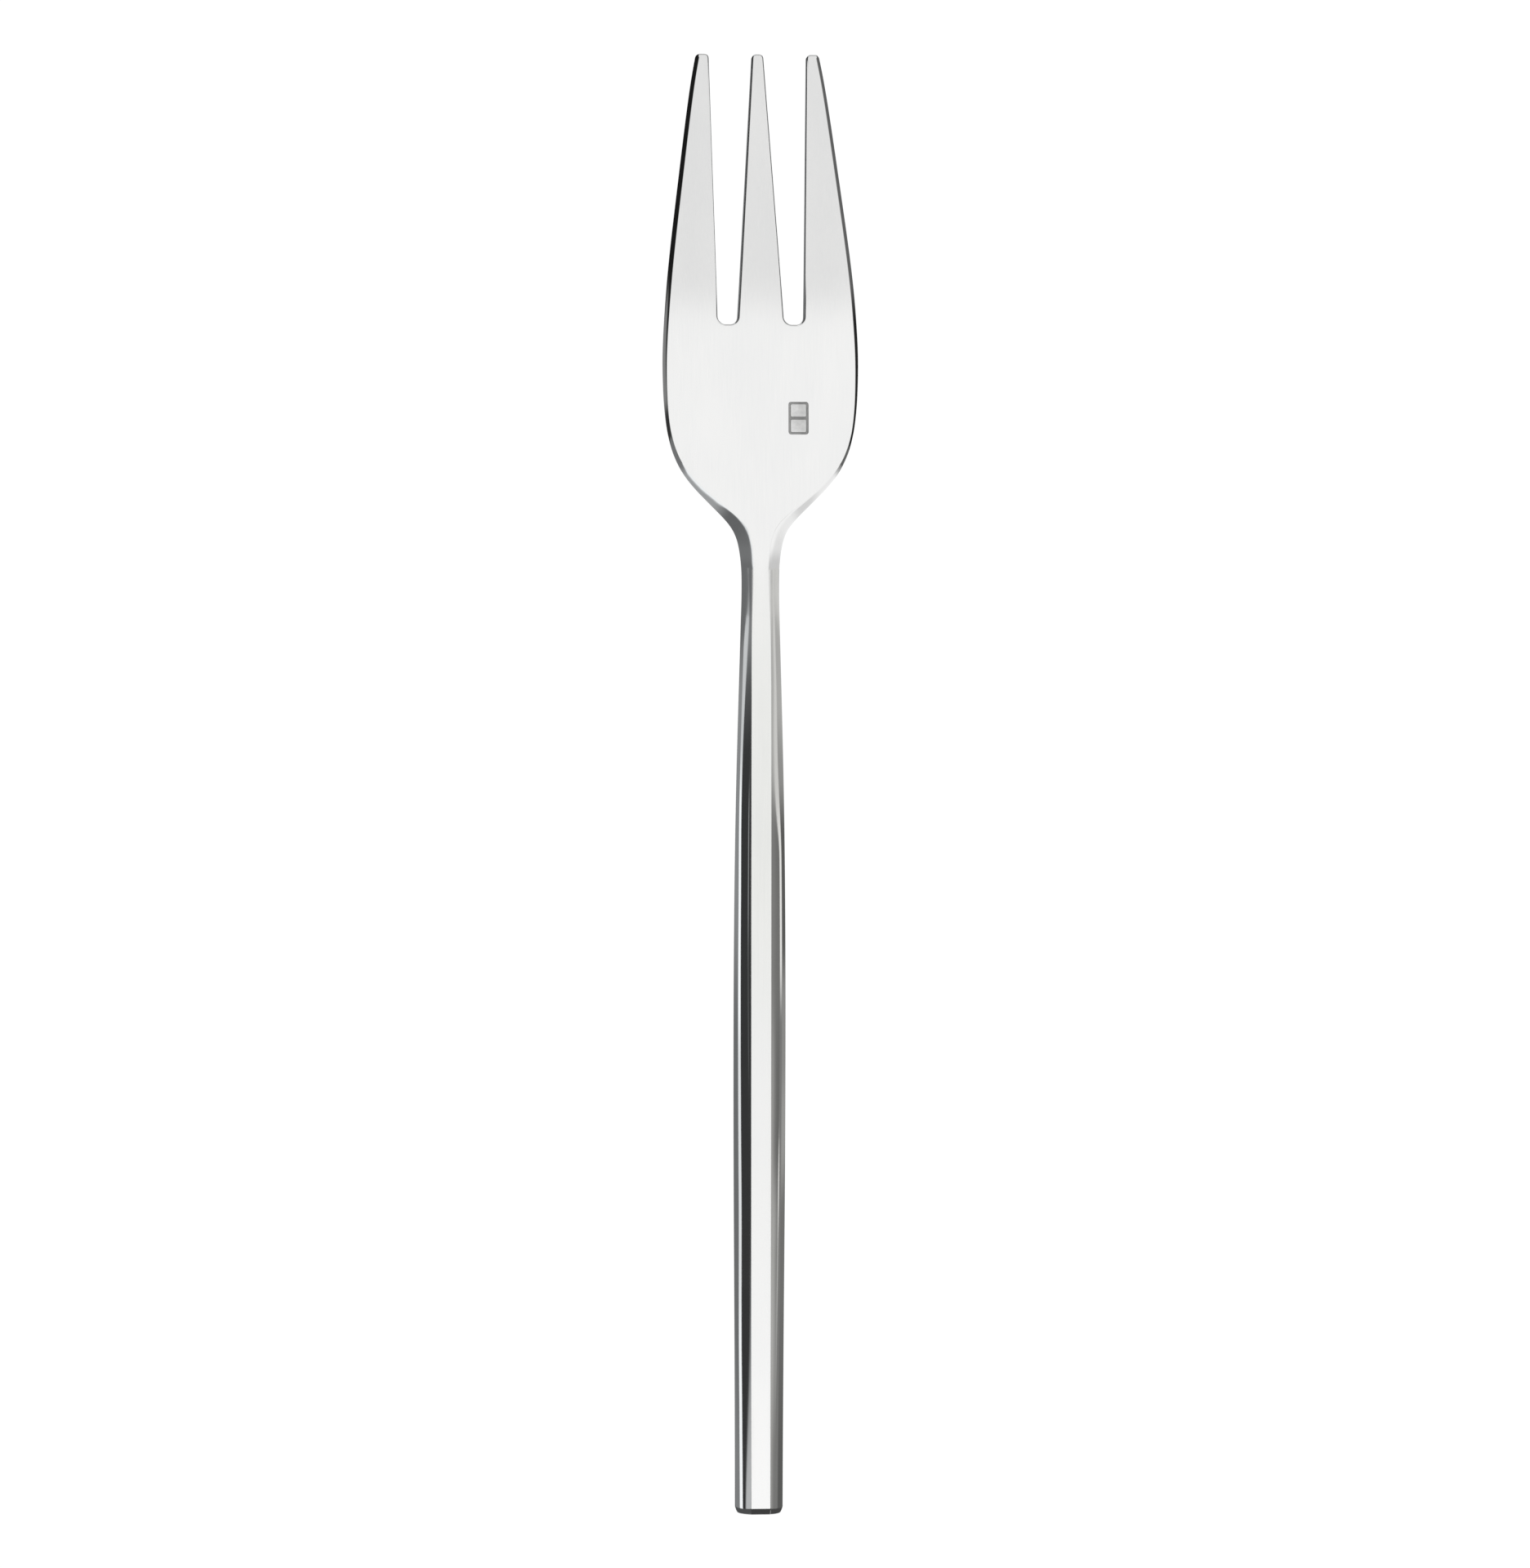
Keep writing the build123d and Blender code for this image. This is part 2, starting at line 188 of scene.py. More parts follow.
class Skin:
    """Collects the faces of one piece, with a shading normal for every corner."""

    def __init__(self):
        self.points, self.index = [], {}
        self.faces, self.normals, self.kinds, self.worn = [], [], [], {}

    def point(self, p):
        key = tuple(round(float(c) * 2e4) for c in p)
        if key not in self.index:
            self.index[key] = len(self.points)
            self.points.append([float(c) for c in p])
        return self.index[key]

    def face(self, corners, normals, kind=0):
        ids = [self.point(p) for p in corners]
        keep = [k for k in range(len(ids)) if ids[k] != ids[k - 1]]
        if len({ids[k] for k in keep}) < 3:
            return
        ids, pts, nrm = [ids[k] for k in keep], [np.array(corners[k]) for k in keep], [normals[k] for k in keep]
        facing = sum(np.cross(pts[k - 1], pts[k]) for k in range(len(pts)))
        if facing @ sum(nrm) < 0:
            ids, nrm = ids[::-1], nrm[::-1]
        self.faces.append(ids)
        self.normals += [tuple(v) for v in nrm]
        self.kinds.append(kind)

    def grid(self, pts, nrm, closed=False, kind=0):
        rows, cols = pts.shape[:2]
        for i in range(rows - 1):
            for j in range(cols if closed else cols - 1):
                k = (j + 1) % cols
                self.face(
                    [pts[i, j], pts[i + 1, j], pts[i + 1, k], pts[i, k]],
                    [nrm[i, j], nrm[i + 1, j], nrm[i + 1, k], nrm[i, k]],
                    kind,
                )

    def wear(self, pts, amount):
        """How much a crease's polish is worn, 0 to 1, at some of the points."""
        for p, a in zip(np.reshape(pts, (-1, 3)), np.ravel(amount)):
            k = self.point(p)
            self.worn[k] = max(self.worn.get(k, 0.0), float(a))

    def build(self, name, node, materials):
        me = bpy.data.meshes.new(name)
        me.from_pydata([[c * 0.001 for c in p] for p in self.points], [], self.faces)
        for m in materials:
            me.materials.append(m)
        me.polygons.foreach_set("material_index", self.kinds)
        me.polygons.foreach_set("use_smooth", [True] * len(self.faces))
        layer = me.attributes.new("crease_wear", "FLOAT", "POINT")
        layer.data.foreach_set("value", [self.worn.get(k, 0.0) for k in range(len(self.points))])
        me.update()
        me.normals_split_custom_set(self.normals)
        ob = bpy.data.objects.new(name, me)
        bpy.context.scene.collection.objects.link(ob)
        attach(ob, "root")
        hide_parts(node)
        return ob


def inside(pts, loop):
    """Which points of the plane lie inside a closed loop."""
    x, y = pts[:, :1], pts[:, 1:]
    ax, ay = loop[:, 0], loop[:, 1]
    bx, by = np.roll(ax, -1), np.roll(ay, -1)
    crosses = (ay > y) != (by > y)
    with np.errstate(divide="ignore", invalid="ignore"):
        at = ax + (y - ay) * (bx - ax) / (by - ay)
    return (crosses & (x < at)).sum(1) % 2 == 1


def distance(pts, loop):
    """Distance of points of the plane from a closed loop."""
    a, b = loop[None], np.roll(loop, -1, 0)[None]
    p = pts[:, None]
    t = (((p - a) * (b - a)).sum(-1) / (((b - a) ** 2).sum(-1) + 1e-15)).clip(0, 1)[..., None]
    return np.linalg.norm(p - a - t * (b - a), axis=-1).min(1)


def fill(skin, loops, places, normals, extra, place_of, normal_of, kind=0, wear=None):
    """Fills a flat outline with holes by triangles. loops are in the plane, the outline first;
    places and normals are what the loops' points have in space, and extra are inner points."""
    flat = np.concatenate([*loops, extra]) if len(extra) else np.concatenate(loops)
    space = np.concatenate([*places, place_of(extra)]) if len(extra) else np.concatenate(places)
    shade = np.concatenate([*normals, normal_of(extra)]) if len(extra) else np.concatenate(normals)
    edges, start = [], 0
    for loop in loops:
        edges += [(start + k, start + (k + 1) % len(loop)) for k in range(len(loop))]
        start += len(loop)
    found = delaunay_2d_cdt([tuple(p) for p in flat], edges, [], 0, 1e-7)
    own = [o[0] for o in found[3]]
    tris = np.array([[own[k] for k in f] for f in found[2]])
    middle = flat[tris].mean(1)
    good = inside(middle, loops[0])
    for hole in loops[1:]:
        good &= ~inside(middle, hole)
    for tri in tris[good]:
        skin.face([space[k] for k in tri], [shade[k] for k in tri], kind)
    if wear is not None:
        skin.wear(space, wear(flat))


def scatter(loops, step, margin):
    """Inner points for a fill: a staggered lattice that keeps clear of every loop."""
    low, high = loops[0].min(0), loops[0].max(0)
    rows = np.arange(low[1] + step / 2, high[1], step)
    pts = []
    for k, y in enumerate(rows):
        xs = np.arange(low[0] + (k % 2) * step / 2, high[0], step)
        pts.append(np.stack([xs, np.full(len(xs), y)], 1))
    pts = np.concatenate(pts)
    good = inside(pts, loops[0])
    for loop in loops[1:]:
        good &= ~inside(pts, loop)
    for loop in loops:
        good[good] = distance(pts[good], loop) > margin
    return pts[good]


def rounded_box(cx, cy, w, h, r, steps=5):
    """Loop of a rectangle with rounded corners."""
    pts = []
    for k, (sx, sy) in enumerate([(1, 1), (-1, 1), (-1, -1), (1, -1)]):
        for t in range(steps + 1):
            a = math.radians(90 * k + 90 * t / steps)
            pts.append((cx + sx * (w / 2 - r) + r * math.cos(a), cy + sy * (h / 2 - r) + r * math.sin(a)))
    return np.array(pts)


# ================================================================ materials
def shader(name):
    mat = bpy.data.materials.new(name)
    mat.use_nodes = True
    tree = mat.node_tree
    tree.nodes.clear()
    out = tree.nodes.new("ShaderNodeOutputMaterial")
    bsdf = tree.nodes.new("ShaderNodeBsdfPrincipled")
    tree.links.new(bsdf.outputs["BSDF"], out.inputs["Surface"])
    return mat, tree, bsdf


def noise(tree, place, scale, detail=2.0, rough=0.5, stretch=None):
    """Noise in object space; stretch scales the three axes first."""
    if stretch is not None:
        m = tree.nodes.new("ShaderNodeMapping")
        m.inputs["Scale"].default_value = stretch
        tree.links.new(place, m.inputs["Vector"])
        place = m.outputs["Vector"]
    n = tree.nodes.new("ShaderNodeTexNoise")
    n.inputs["Scale"].default_value = scale
    n.inputs["Detail"].default_value = detail
    n.inputs["Roughness"].default_value = rough
    tree.links.new(place, n.inputs["Vector"])
    return n.outputs["Fac"]


def remap(tree, value, low, high, to_low, to_high):
    r = tree.nodes.new("ShaderNodeMapRange")
    r.interpolation_type = "SMOOTHSTEP"
    for name, v in (("From Min", low), ("From Max", high), ("To Min", to_low), ("To Max", to_high)):
        r.inputs[name].default_value = v
    tree.links.new(value, r.inputs["Value"])
    return r.outputs["Result"]


def maths(tree, op, a, b):
    m = tree.nodes.new("ShaderNodeMath")
    m.operation = op
    for socket, v in zip(m.inputs, (a, b)):
        if isinstance(v, (int, float)):
            socket.default_value = v
        else:
            tree.links.new(v, socket)
    return m.outputs[0]


def tint(tree, fac, dark, light):
    m = tree.nodes.new("ShaderNodeMix")
    m.data_type = "RGBA"
    m.inputs["A"].default_value = (*dark, 1)
    m.inputs["B"].default_value = (*light, 1)
    tree.links.new(fac, m.inputs["Factor"])
    return m.outputs["Result"]


def raised(tree, height, strength, depth):
    b = tree.nodes.new("ShaderNodeBump")
    b.inputs["Strength"].default_value = strength
    b.inputs["Distance"].default_value = depth
    tree.links.new(height, b.inputs["Height"])
    return b.outputs["Normal"]


def polished_steel():
    """Stainless steel off the buffing wheel: a near mirror with faint lengthwise lines,
    soft clouds of slightly duller polish, and creases worn a little satin."""
    mat, tree, bsdf = shader("Polished stainless steel")
    place = tree.nodes.new("ShaderNodeTexCoord").outputs["Object"]
    lines = noise(tree, place, 1.0, 3.0, 0.6, (9000, 55, 9000))
    clouds = noise(tree, place, 160.0, 3.0, 0.55, (1.0, 0.45, 1.0))
    worn = tree.nodes.new("ShaderNodeAttribute")
    worn.attribute_name = "crease_wear"
    dull = remap(tree, clouds, 0.35, 0.7, 0.045, 0.085)
    dull = maths(tree, "ADD", dull, remap(tree, lines, 0.3, 0.75, 0.0, 0.045))
    dull = maths(tree, "ADD", dull, maths(tree, "MULTIPLY", worn.outputs["Fac"], 0.06))
    shade = maths(tree, "ADD", maths(tree, "MULTIPLY", clouds, 0.6), maths(tree, "MULTIPLY", lines, 0.4))
    colour = tint(tree, remap(tree, shade, 0.3, 0.7, 0.0, 1.0), (0.785, 0.787, 0.785), (0.825, 0.824, 0.818))
    tree.links.new(colour, bsdf.inputs["Base Color"])
    tree.links.new(dull, bsdf.inputs["Roughness"])
    tree.links.new(raised(tree, lines, 0.05, 0.000004), bsdf.inputs["Normal"])
    bsdf.inputs["Metallic"].default_value = 1.0
    return mat


def struck_steel(name, dark, pale):
    """Steel of the struck cartouche: the die's own grain, never reached by the buff. Its colour runs between dark
    and pale; the groove's copy is given far darker tones than the fields', painted shade in the sunk floor.
    """
    mat, tree, bsdf = shader(name)
    place = tree.nodes.new("ShaderNodeTexCoord").outputs["Object"]
    grain = noise(tree, place, 7000.0, 3.0, 0.6)
    clouds = noise(tree, place, 900.0, 2.0)
    colour = tint(tree, remap(tree, clouds, 0.3, 0.7, 0.0, 1.0), dark, pale)
    tree.links.new(colour, bsdf.inputs["Base Color"])
    tree.links.new(remap(tree, grain, 0.3, 0.7, 0.30, 0.46), bsdf.inputs["Roughness"])
    tree.links.new(raised(tree, grain, 0.5, 0.00002), bsdf.inputs["Normal"])
    bsdf.inputs["Metallic"].default_value = 1.0
    return mat


def cement():
    """Hard bedding cement inside the handle: grey, gritty, with pinholes that dent its bump and are darkened in
    colour as painted shade inside them.
    """
    mat, tree, bsdf = shader("Bedding cement")
    place = tree.nodes.new("ShaderNodeTexCoord").outputs["Object"]
    grit = noise(tree, place, 2600.0, 4.0, 0.65)
    clouds = noise(tree, place, 300.0, 3.0)
    cells = tree.nodes.new("ShaderNodeTexVoronoi")
    cells.inputs["Scale"].default_value = 1500.0
    tree.links.new(place, cells.inputs["Vector"])
    # pinholes: dents in the bump, and painted shade that darkens the colour inside them
    pinhole_dents_and_shade = remap(tree, cells.outputs["Distance"], 0.05, 0.22, 0.0, 1.0)
    shade = maths(tree, "MULTIPLY", maths(tree, "ADD", maths(tree, "MULTIPLY", grit, 0.6), maths(tree, "MULTIPLY", clouds, 0.4)), pinhole_dents_and_shade)
    colour = tint(tree, remap(tree, shade, 0.15, 0.65, 0.0, 1.0), (0.20, 0.19, 0.175), (0.50, 0.48, 0.445))
    tree.links.new(colour, bsdf.inputs["Base Color"])
    tree.links.new(remap(tree, grit, 0.3, 0.7, 0.82, 0.96), bsdf.inputs["Roughness"])
    tree.links.new(raised(tree, shade, 0.6, 0.00008), bsdf.inputs["Normal"])
    return mat


STEEL, CEMENT = polished_steel(), cement()
# the groove's steel is painted far darker than the fields': painted shade on the cartouche's sunk floor and on the
# fields' sides
GROOVE_PAINTED_SHADE = struck_steel("Struck groove with painted shade", (0.24, 0.24, 0.237), (0.36, 0.36, 0.356))
FIELD = struck_steel("Struck field", (0.60, 0.60, 0.595), (0.76, 0.76, 0.755))


# ================================================================ head with its tang
def corner(before, apex, after, radius, steps):
    """Arc that rounds a corner of a polyline: its points and its centre."""
    before, apex, after = (np.array(p, float) for p in (before, apex, after))
    u, v = unit(before - apex), unit(after - apex)
    half = math.acos(u @ v) / 2
    middle = apex + unit(u + v) * radius / math.sin(half)
    a, b = apex + u * radius / math.tan(half) - middle, apex + v * radius / math.tan(half) - middle
    sweep = math.pi - 2 * half
    t = np.linspace(0, 1, steps + 1)[:, None]
    return middle + (a * np.sin((1 - t) * sweep) + b * np.sin(t * sweep)) / math.sin(sweep), middle


def between(a, b, step):
    """Points strictly between two points."""
    n = max(2, round(np.linalg.norm(b - a) / step))
    return a + (b - a) * (np.arange(1, n) / n)[:, None]


def head_outline():
    """The right half of the head's edge, from the joint to the middle of the middle tip, with the
    head on the left of the way. Each station has its outermost point, the way and the distance
    in to the flat, and how bowed its side is: 1 a bow from flat to flat, 0 a wall with broken edges."""
    lean = float(half_width(TIP_Y) - half_width(TIP_Y - 0.5)) / 0.5
    tip = np.array([float(half_width(TIP_Y)), TIP_Y])
    inner_tip, slot_out = (OUT_TIP_X, TIP_Y), (OUT_ROOT_X, SLOT_BOTTOM_Y)
    slot_in, mid_tip = (MID_ROOT_X, SLOT_BOTTOM_Y), (MID_TIP_X, TIP_Y)
    arc_1, at_1 = corner(tip - np.array([lean, 1.0]), tip, inner_tip, TIP_ROUND, 9)
    arc_2, at_2 = corner(tip, inner_tip, slot_out, TIP_ROUND, 9)
    arc_3, at_3 = corner(inner_tip, slot_out, slot_in, SLOT_ROUND, 12)
    arc_4, at_4 = corner(slot_out, slot_in, mid_tip, SLOT_ROUND, 12)
    arc_5, at_5 = corner(slot_in, mid_tip, (-MID_TIP_X, TIP_Y), MID_TIP_ROUND, 9)
    end_y = arc_1[0, 1]
    ys = np.concatenate([np.arange(JOINT_Y, 36, 0.2), np.arange(36, end_y - 0.2, 0.4)])

    line = np.stack([half_width(ys), ys], 1)
    side = unit(np.array([-1.0, lean]))
    turn = ease(ys, (end_y - 4, end_y))[:, None]
    inward = [unit((1 - turn) * np.array([-1.0, 0.0]) + turn * side)]
    point, depth, bow = [line], [strip_width(ys)], [np.ones(len(ys))]

    def add(pts, way, far, bowed):
        point.append(pts)
        inward.append(np.broadcast_to(way, pts.shape))
        depth.append(np.broadcast_to(far, len(pts)))
        bow.append(np.broadcast_to(bowed, len(pts)))

    t = ease(np.linspace(0, 1, len(arc_1)), (0, 1))
    add(arc_1, unit(at_1 - arc_1), (1 - t) * float(strip_width(end_y)) + t * SLOT_EDGE, 1 - t)
    for first, second, centre, hollow, step in (
        (arc_1, arc_2, at_2, False, 0.12), (arc_2, arc_3, at_3, True, 0.5),
        (arc_3, arc_4, at_4, True, 0.15), (arc_4, arc_5, at_5, False, 0.5),
    ):
        run = unit(second[0] - first[-1])
        add(between(first[-1], second[0], step), np.array([-run[1], run[0]]), SLOT_EDGE, 0.0)
        add(second, unit((second - centre) * (1 if hollow else -1)), SLOT_EDGE, 0.0)
    last = np.array([0.0, TIP_Y])
    add(np.concatenate([between(arc_5[-1], last, 0.1), [last]]), np.array([0.0, -1.0]), SLOT_EDGE, 0.0)
    return np.concatenate(point), np.concatenate(inward), np.concatenate(depth), np.concatenate(bow)


BOW_N, TURN_N = 17, 7         # points of a bow, and of the turn from it into a flat


def bow_profile(half_w, flat, half_t, turn, whole=True):
    """Across and up of a side that bows out between the flats, with rounded creases, from the lower
    flat to the upper, or from the middle to the upper."""
    out = half_w - flat
    radius = (half_t**2 + out**2) / (2 * out)
    middle = half_w - radius
    turn = min(turn, 0.8 * radius, 0.8 * half_t)
    reach = math.sqrt(max((radius - turn) ** 2 - (half_t - turn) ** 2, 0.0))
    start = math.atan2(half_t - turn, reach)
    a = np.linspace(-start if whole else 0.0, start, BOW_N)
    bowed = np.stack([middle + radius * np.cos(a), radius * np.sin(a)], 1)
    a = np.linspace(start, math.pi / 2, TURN_N)[1:]
    turned = np.stack([middle + reach + turn * np.cos(a), half_t - turn + turn * np.sin(a)], 1)
    if not whole:
        return np.concatenate([bowed, turned])
    return np.concatenate([turned[::-1] * np.array([1, -1]), bowed, turned])


def side_profile(depth, half_t, bow, turn):
    """Heights, from -1 to 1, and distances in, of a side's points from the lower flat to the upper."""
    depth = min(depth, 0.98 * half_t)
    xh = bow_profile(0.0, -depth, half_t, turn)
    bowed = xh[:, 1], -xh[:, 0]
    count = TURN_N + 2
    a = np.linspace(math.pi / 2, 0, count)
    wall = np.linspace(-(half_t - depth), half_t - depth, len(xh) - 2 * count + 2)[1:-1]
    walled = (
        np.concatenate([-(half_t - depth) - depth * np.sin(a), wall, half_t - depth + depth * np.sin(a[::-1])]),
        np.concatenate([depth * (1 - np.cos(a)), 0 * wall, depth * (1 - np.cos(a[::-1]))]),
    )
    high, far = (bow * p + (1 - bow) * q for p, q in zip(bowed, walled))
    return high / half_t, far


def build_head():
    skin = Skin()
    point, inward, depth, bow = head_outline()
    flip = np.array([-1.0, 1.0])
    point = np.concatenate([point, point[-2::-1] * flip])
    inward = np.concatenate([inward, inward[-2::-1] * flip])
    depth, bow = np.concatenate([depth, depth[-2::-1]]), np.concatenate([bow, bow[-2::-1]])
    n, m = len(point), BOW_N + 2 * TURN_N - 2

    # sides
    sides = np.zeros((n, m, 3))
    for i in range(n):
        high, far = side_profile(depth[i], float(thickness(point[i, 1])) / 2, bow[i], crease(point[i, 1]))
        at = point[i] + inward[i] * far[:, None]
        half = thickness(at[:, 1]) / 2
        sides[i, :, :2], sides[i, :, 2] = at, back_z(at[:, 1]) - half + high * half
        if i in (0, n - 1):       # the joint is square to the handle
            sides[i] = axis_point(JOINT_Y) + at[:, :1] * ACROSS + (high * JOINT_HALF_T)[:, None] * UP
    outward = np.concatenate([-inward, np.zeros((n, 1))], 1)[:, None]
    side_n = grid_normals(sides, outward)

    def back_normal(xy):
        return unit(np.stack([0 * xy[:, 0], -np.tan(np.radians(back_slope(xy[:, 1]))), 1 + 0 * xy[:, 0]], 1))

    def front_normal(xy):
        rise = (front_z(xy[:, 1] + 0.05) - front_z(xy[:, 1] - 0.05)) / 0.1
        return unit(np.stack([0 * xy[:, 0], rise, -1 + 0 * xy[:, 0]], 1))

    rims = {}
    for end, normal_of in ((m - 1, back_normal), (0, front_normal)):
        rims[end] = side_n[:, end] = normal_of(sides[:, end, :2])
    skin.grid(sides, side_n)
    for j in (1, 3, TURN_N - 1, -TURN_N, -4, -2):
        skin.wear(sides[:, j], np.full(n, 0.8))

    # back and front flats
    joint_x = np.linspace(sides[-1, 0, 0], sides[0, 0, 0], 9)[1:-1]
    marks = rounded_box(MARK_X, MARK_Y, MARK_W + 0.08, MARK_H + 0.08, MARK_ROUND + 0.04)
    edge_rows = {}
    for end, z_of, normal_of, sign in ((m - 1, back_z, back_normal, 1), (0, front_z, front_normal, -1)):
        def place_of(xy, z_of=z_of):
            return np.concatenate([xy, z_of(xy[:, 1])[:, None]], 1)

        edge = axis_point(JOINT_Y) + joint_x[:, None] * ACROSS + sign * JOINT_HALF_T * UP
        edge_rows[sign] = edge
        rim = np.concatenate([sides[:, end], edge])
        rim_n = np.concatenate([rims[end], normal_of(edge[:, :2])])
        loops, places, normals = [rim[:, :2]], [rim], [rim_n]
        if sign > 0:
            loops.append(marks)
            places.append(place_of(marks))
            normals.append(normal_of(marks))
        extra = scatter(loops, 0.6, 0.15)
        open_edge = sides[:, end, :2]

        def wear(xy, open_edge=open_edge):
            return 0.7 * np.exp(-distance(xy, open_edge) / 0.2)

        fill(skin, loops, places, normals, extra, place_of, normal_of, wear=wear)

    # cartouche: a blank sunk panel of two fields
    def level(loop, down):
        return np.concatenate([loop, (back_z(loop[:, 1]) - down)[:, None]], 1)

    def box(w, h, r, cy=MARK_Y):
        return rounded_box(MARK_X, cy, w, h, r)

    wall = np.stack([
        level(box(MARK_W + 0.08 - 2 * g, MARK_H + 0.08 - 2 * g, MARK_ROUND + 0.04 - g), d)
        for g, d in ((0.0, 0.0), (0.012, 0.002), (0.025, 0.010), (0.035, 0.024), (0.045, 0.085), (0.055, MARK_DEPTH))
    ])
    centre = np.array([MARK_X, MARK_Y, 9.0])
    wall_n = grid_normals(wall, centre - wall, closed=True)
    wall_n[0] = back_normal(marks)
    skin.grid(wall, wall_n, closed=True)
    floor_loop = box(MARK_W - 0.03, MARK_H - 0.03, MARK_ROUND - 0.015)
    fields = []
    for k in (-1, 1):
        cy = MARK_Y + k * MARK_H / 4 - k * 0.035
        size = (MARK_W - 0.36, MARK_H / 2 - 0.29)
        stack = np.stack([
            level(rounded_box(MARK_X, cy, size[0] - 2 * g, size[1] - 2 * g, 0.16 - g), d)
            for g, d in ((0.0, MARK_DEPTH), (0.012, 0.060), (0.022, 0.045), (0.04, 0.04))
        ])
        stack_n = grid_normals(stack, stack - np.array([MARK_X, cy, 0.0]), closed=True)
        # the fields' sides take the groove's steel, painted dark as shade in the recess
        skin.grid(stack, stack_n, closed=True, kind=1)
        top = stack[-1]
        fill(skin, [top[:, :2]], [top], [back_normal(top[:, :2])], np.zeros((0, 2)),
             lambda xy: level(xy, 0.04), back_normal, kind=2)
        fields.append(stack[0])
    # the floor between the fields takes the groove's steel, painted dark as shade in the recess
    fill(skin, [floor_loop, *[f[:, :2] for f in fields]], [wall[-1], *fields],
         [back_normal(floor_loop), *[back_normal(f[:, :2]) for f in fields]], np.zeros((0, 2)),
         lambda xy: level(xy, MARK_DEPTH), back_normal, kind=1)

    # joint face, with the tang standing on it
    def joint_place(xh):
        return axis_point(JOINT_Y) + xh[:, :1] * ACROSS + xh[:, 1:] * UP

    ring = np.concatenate([sides[0], edge_rows[1][::-1], sides[-1, ::-1], edge_rows[-1]])
    ring_xh = np.stack([ring[:, 0], (ring - axis_point(JOINT_Y)) @ UP], 1)
    tang = np.array([[1, 1], [-1, 1], [-1, -1], [1, -1]]) * np.array([TANG_W, TANG_T]) / 2
    facing = lambda xh: np.broadcast_to(-ALONG, (len(xh), 3))
    fill(skin, [ring_xh, tang], [ring, joint_place(tang)], [facing(ring_xh), facing(tang)],
         np.zeros((0, 2)), joint_place, facing)
    near, far = joint_place(tang), joint_place(tang) - TANG_L * ALONG
    for k in range(4):
        j = (k + 1) % 4
        out = unit((near[k] + near[j]) / 2 - axis_point(JOINT_Y))
        skin.face([near[k], near[j], far[j], far[k]], [out] * 4)
    skin.face(list(far), [-ALONG] * 4)
    return skin.build("head_steel", "fork_head", [STEEL, GROOVE_PAINTED_SHADE, FIELD])


# ================================================================ handle shells and end cap
FLAT_T = np.array([-1, -0.6, 0, 0.6, 1.0])


def flank(y, inset, groove=0.0):
    """Across and up, off the axis, of a bowed flank from its middle to the flat, moved in by inset."""
    w, half_t = float(half_width(y)), handle_half_t(y)
    out = w - FLAT_HALF_W
    radius = (half_t**2 + out**2) / (2 * out)
    flat = w - radius + math.sqrt((radius - inset) ** 2 - (half_t - inset) ** 2)
    xh = bow_profile(w - inset, flat, half_t - inset, max(crease(y) - inset, 0.03), whole=False)
    xh[0, 0] -= groove
    return xh


def shell_rows(ys, inset, side, up, groove=0.0):
    """Grid of a flank's points at each Y. side and up are 1 or -1."""
    rows = [flank(y, inset, groove) for y in ys]
    return np.stack([axis_point(y) + side * r[:, :1] * ACROSS + up * r[:, 1:] * UP for y, r in zip(ys, rows)])


def flat_rows(right, left):
    """Grid of a flat's points between the ends of two flanks."""
    mid, half = (right[:, -1] + left[:, -1]) / 2, (right[:, -1] - left[:, -1]) / 2
    return mid[:, None] + FLAT_T[None, :, None] * half[:, None]


def soften(parts):
    """Gives a flank and a flat one normal along the line where they meet, the flat's."""
    right, flat, left = parts
    right[:, -1], left[:, -1] = flat[:, 0], flat[:, -1]


def build_shell(name, node, up):
    skin = Skin()
    ys = np.linspace(JOINT_Y, BUTT_Y + CAP_T, 92)
    axis = np.stack([axis_point(y) for y in ys])[:, None]
    rims = {}
    for inset, sign, groove in ((0.0, 1, 0.012), (WALL, -1, 0.0)):
        right, left = (shell_rows(ys, inset, s, up, groove) for s in (1, -1))
        flat = flat_rows(right, left)[:, ::-1]
        parts = [right, flat, left]
        normals = [grid_normals(p, sign * (p - axis)) for p in parts]
        soften(normals)
        for p, nrm in zip(parts, normals):
            skin.grid(p, nrm)
        if sign > 0:
            for p in (right, left):
                for k, a in ((-TURN_N, 0.7), (-TURN_N + 2, 1.0), (-2, 1.0), (-1, 0.6)):
                    skin.wear(p[:, k], np.full(len(ys), a))
        rims[sign] = np.concatenate([right[:, :-1], flat, left[:, -2::-1]], 1)
    # seam faces, then the two ends
    for at in (0, -1):
        seam = np.stack([rims[1][:, at], rims[-1][:, at]], 1)
        skin.grid(seam, np.broadcast_to(-up * UP, seam.shape))
    for row, facing in ((0, ALONG), (-1, -ALONG)):
        end = np.stack([rims[1][row], rims[-1][row]])
        skin.grid(end, np.broadcast_to(facing, end.shape))
    return skin.build(name, node, [STEEL])


def section(y, inset):
    """Closed outline of the handle at Y, moved in by inset, as four patches in turn."""
    xh = flank(y, inset)
    right = np.concatenate([xh[:0:-1] * np.array([1, -1]), xh])
    end = xh[-1]
    top = np.stack([-FLAT_T * end[0], np.full(len(FLAT_T), end[1])], 1)
    return [right, top, -right, -top]


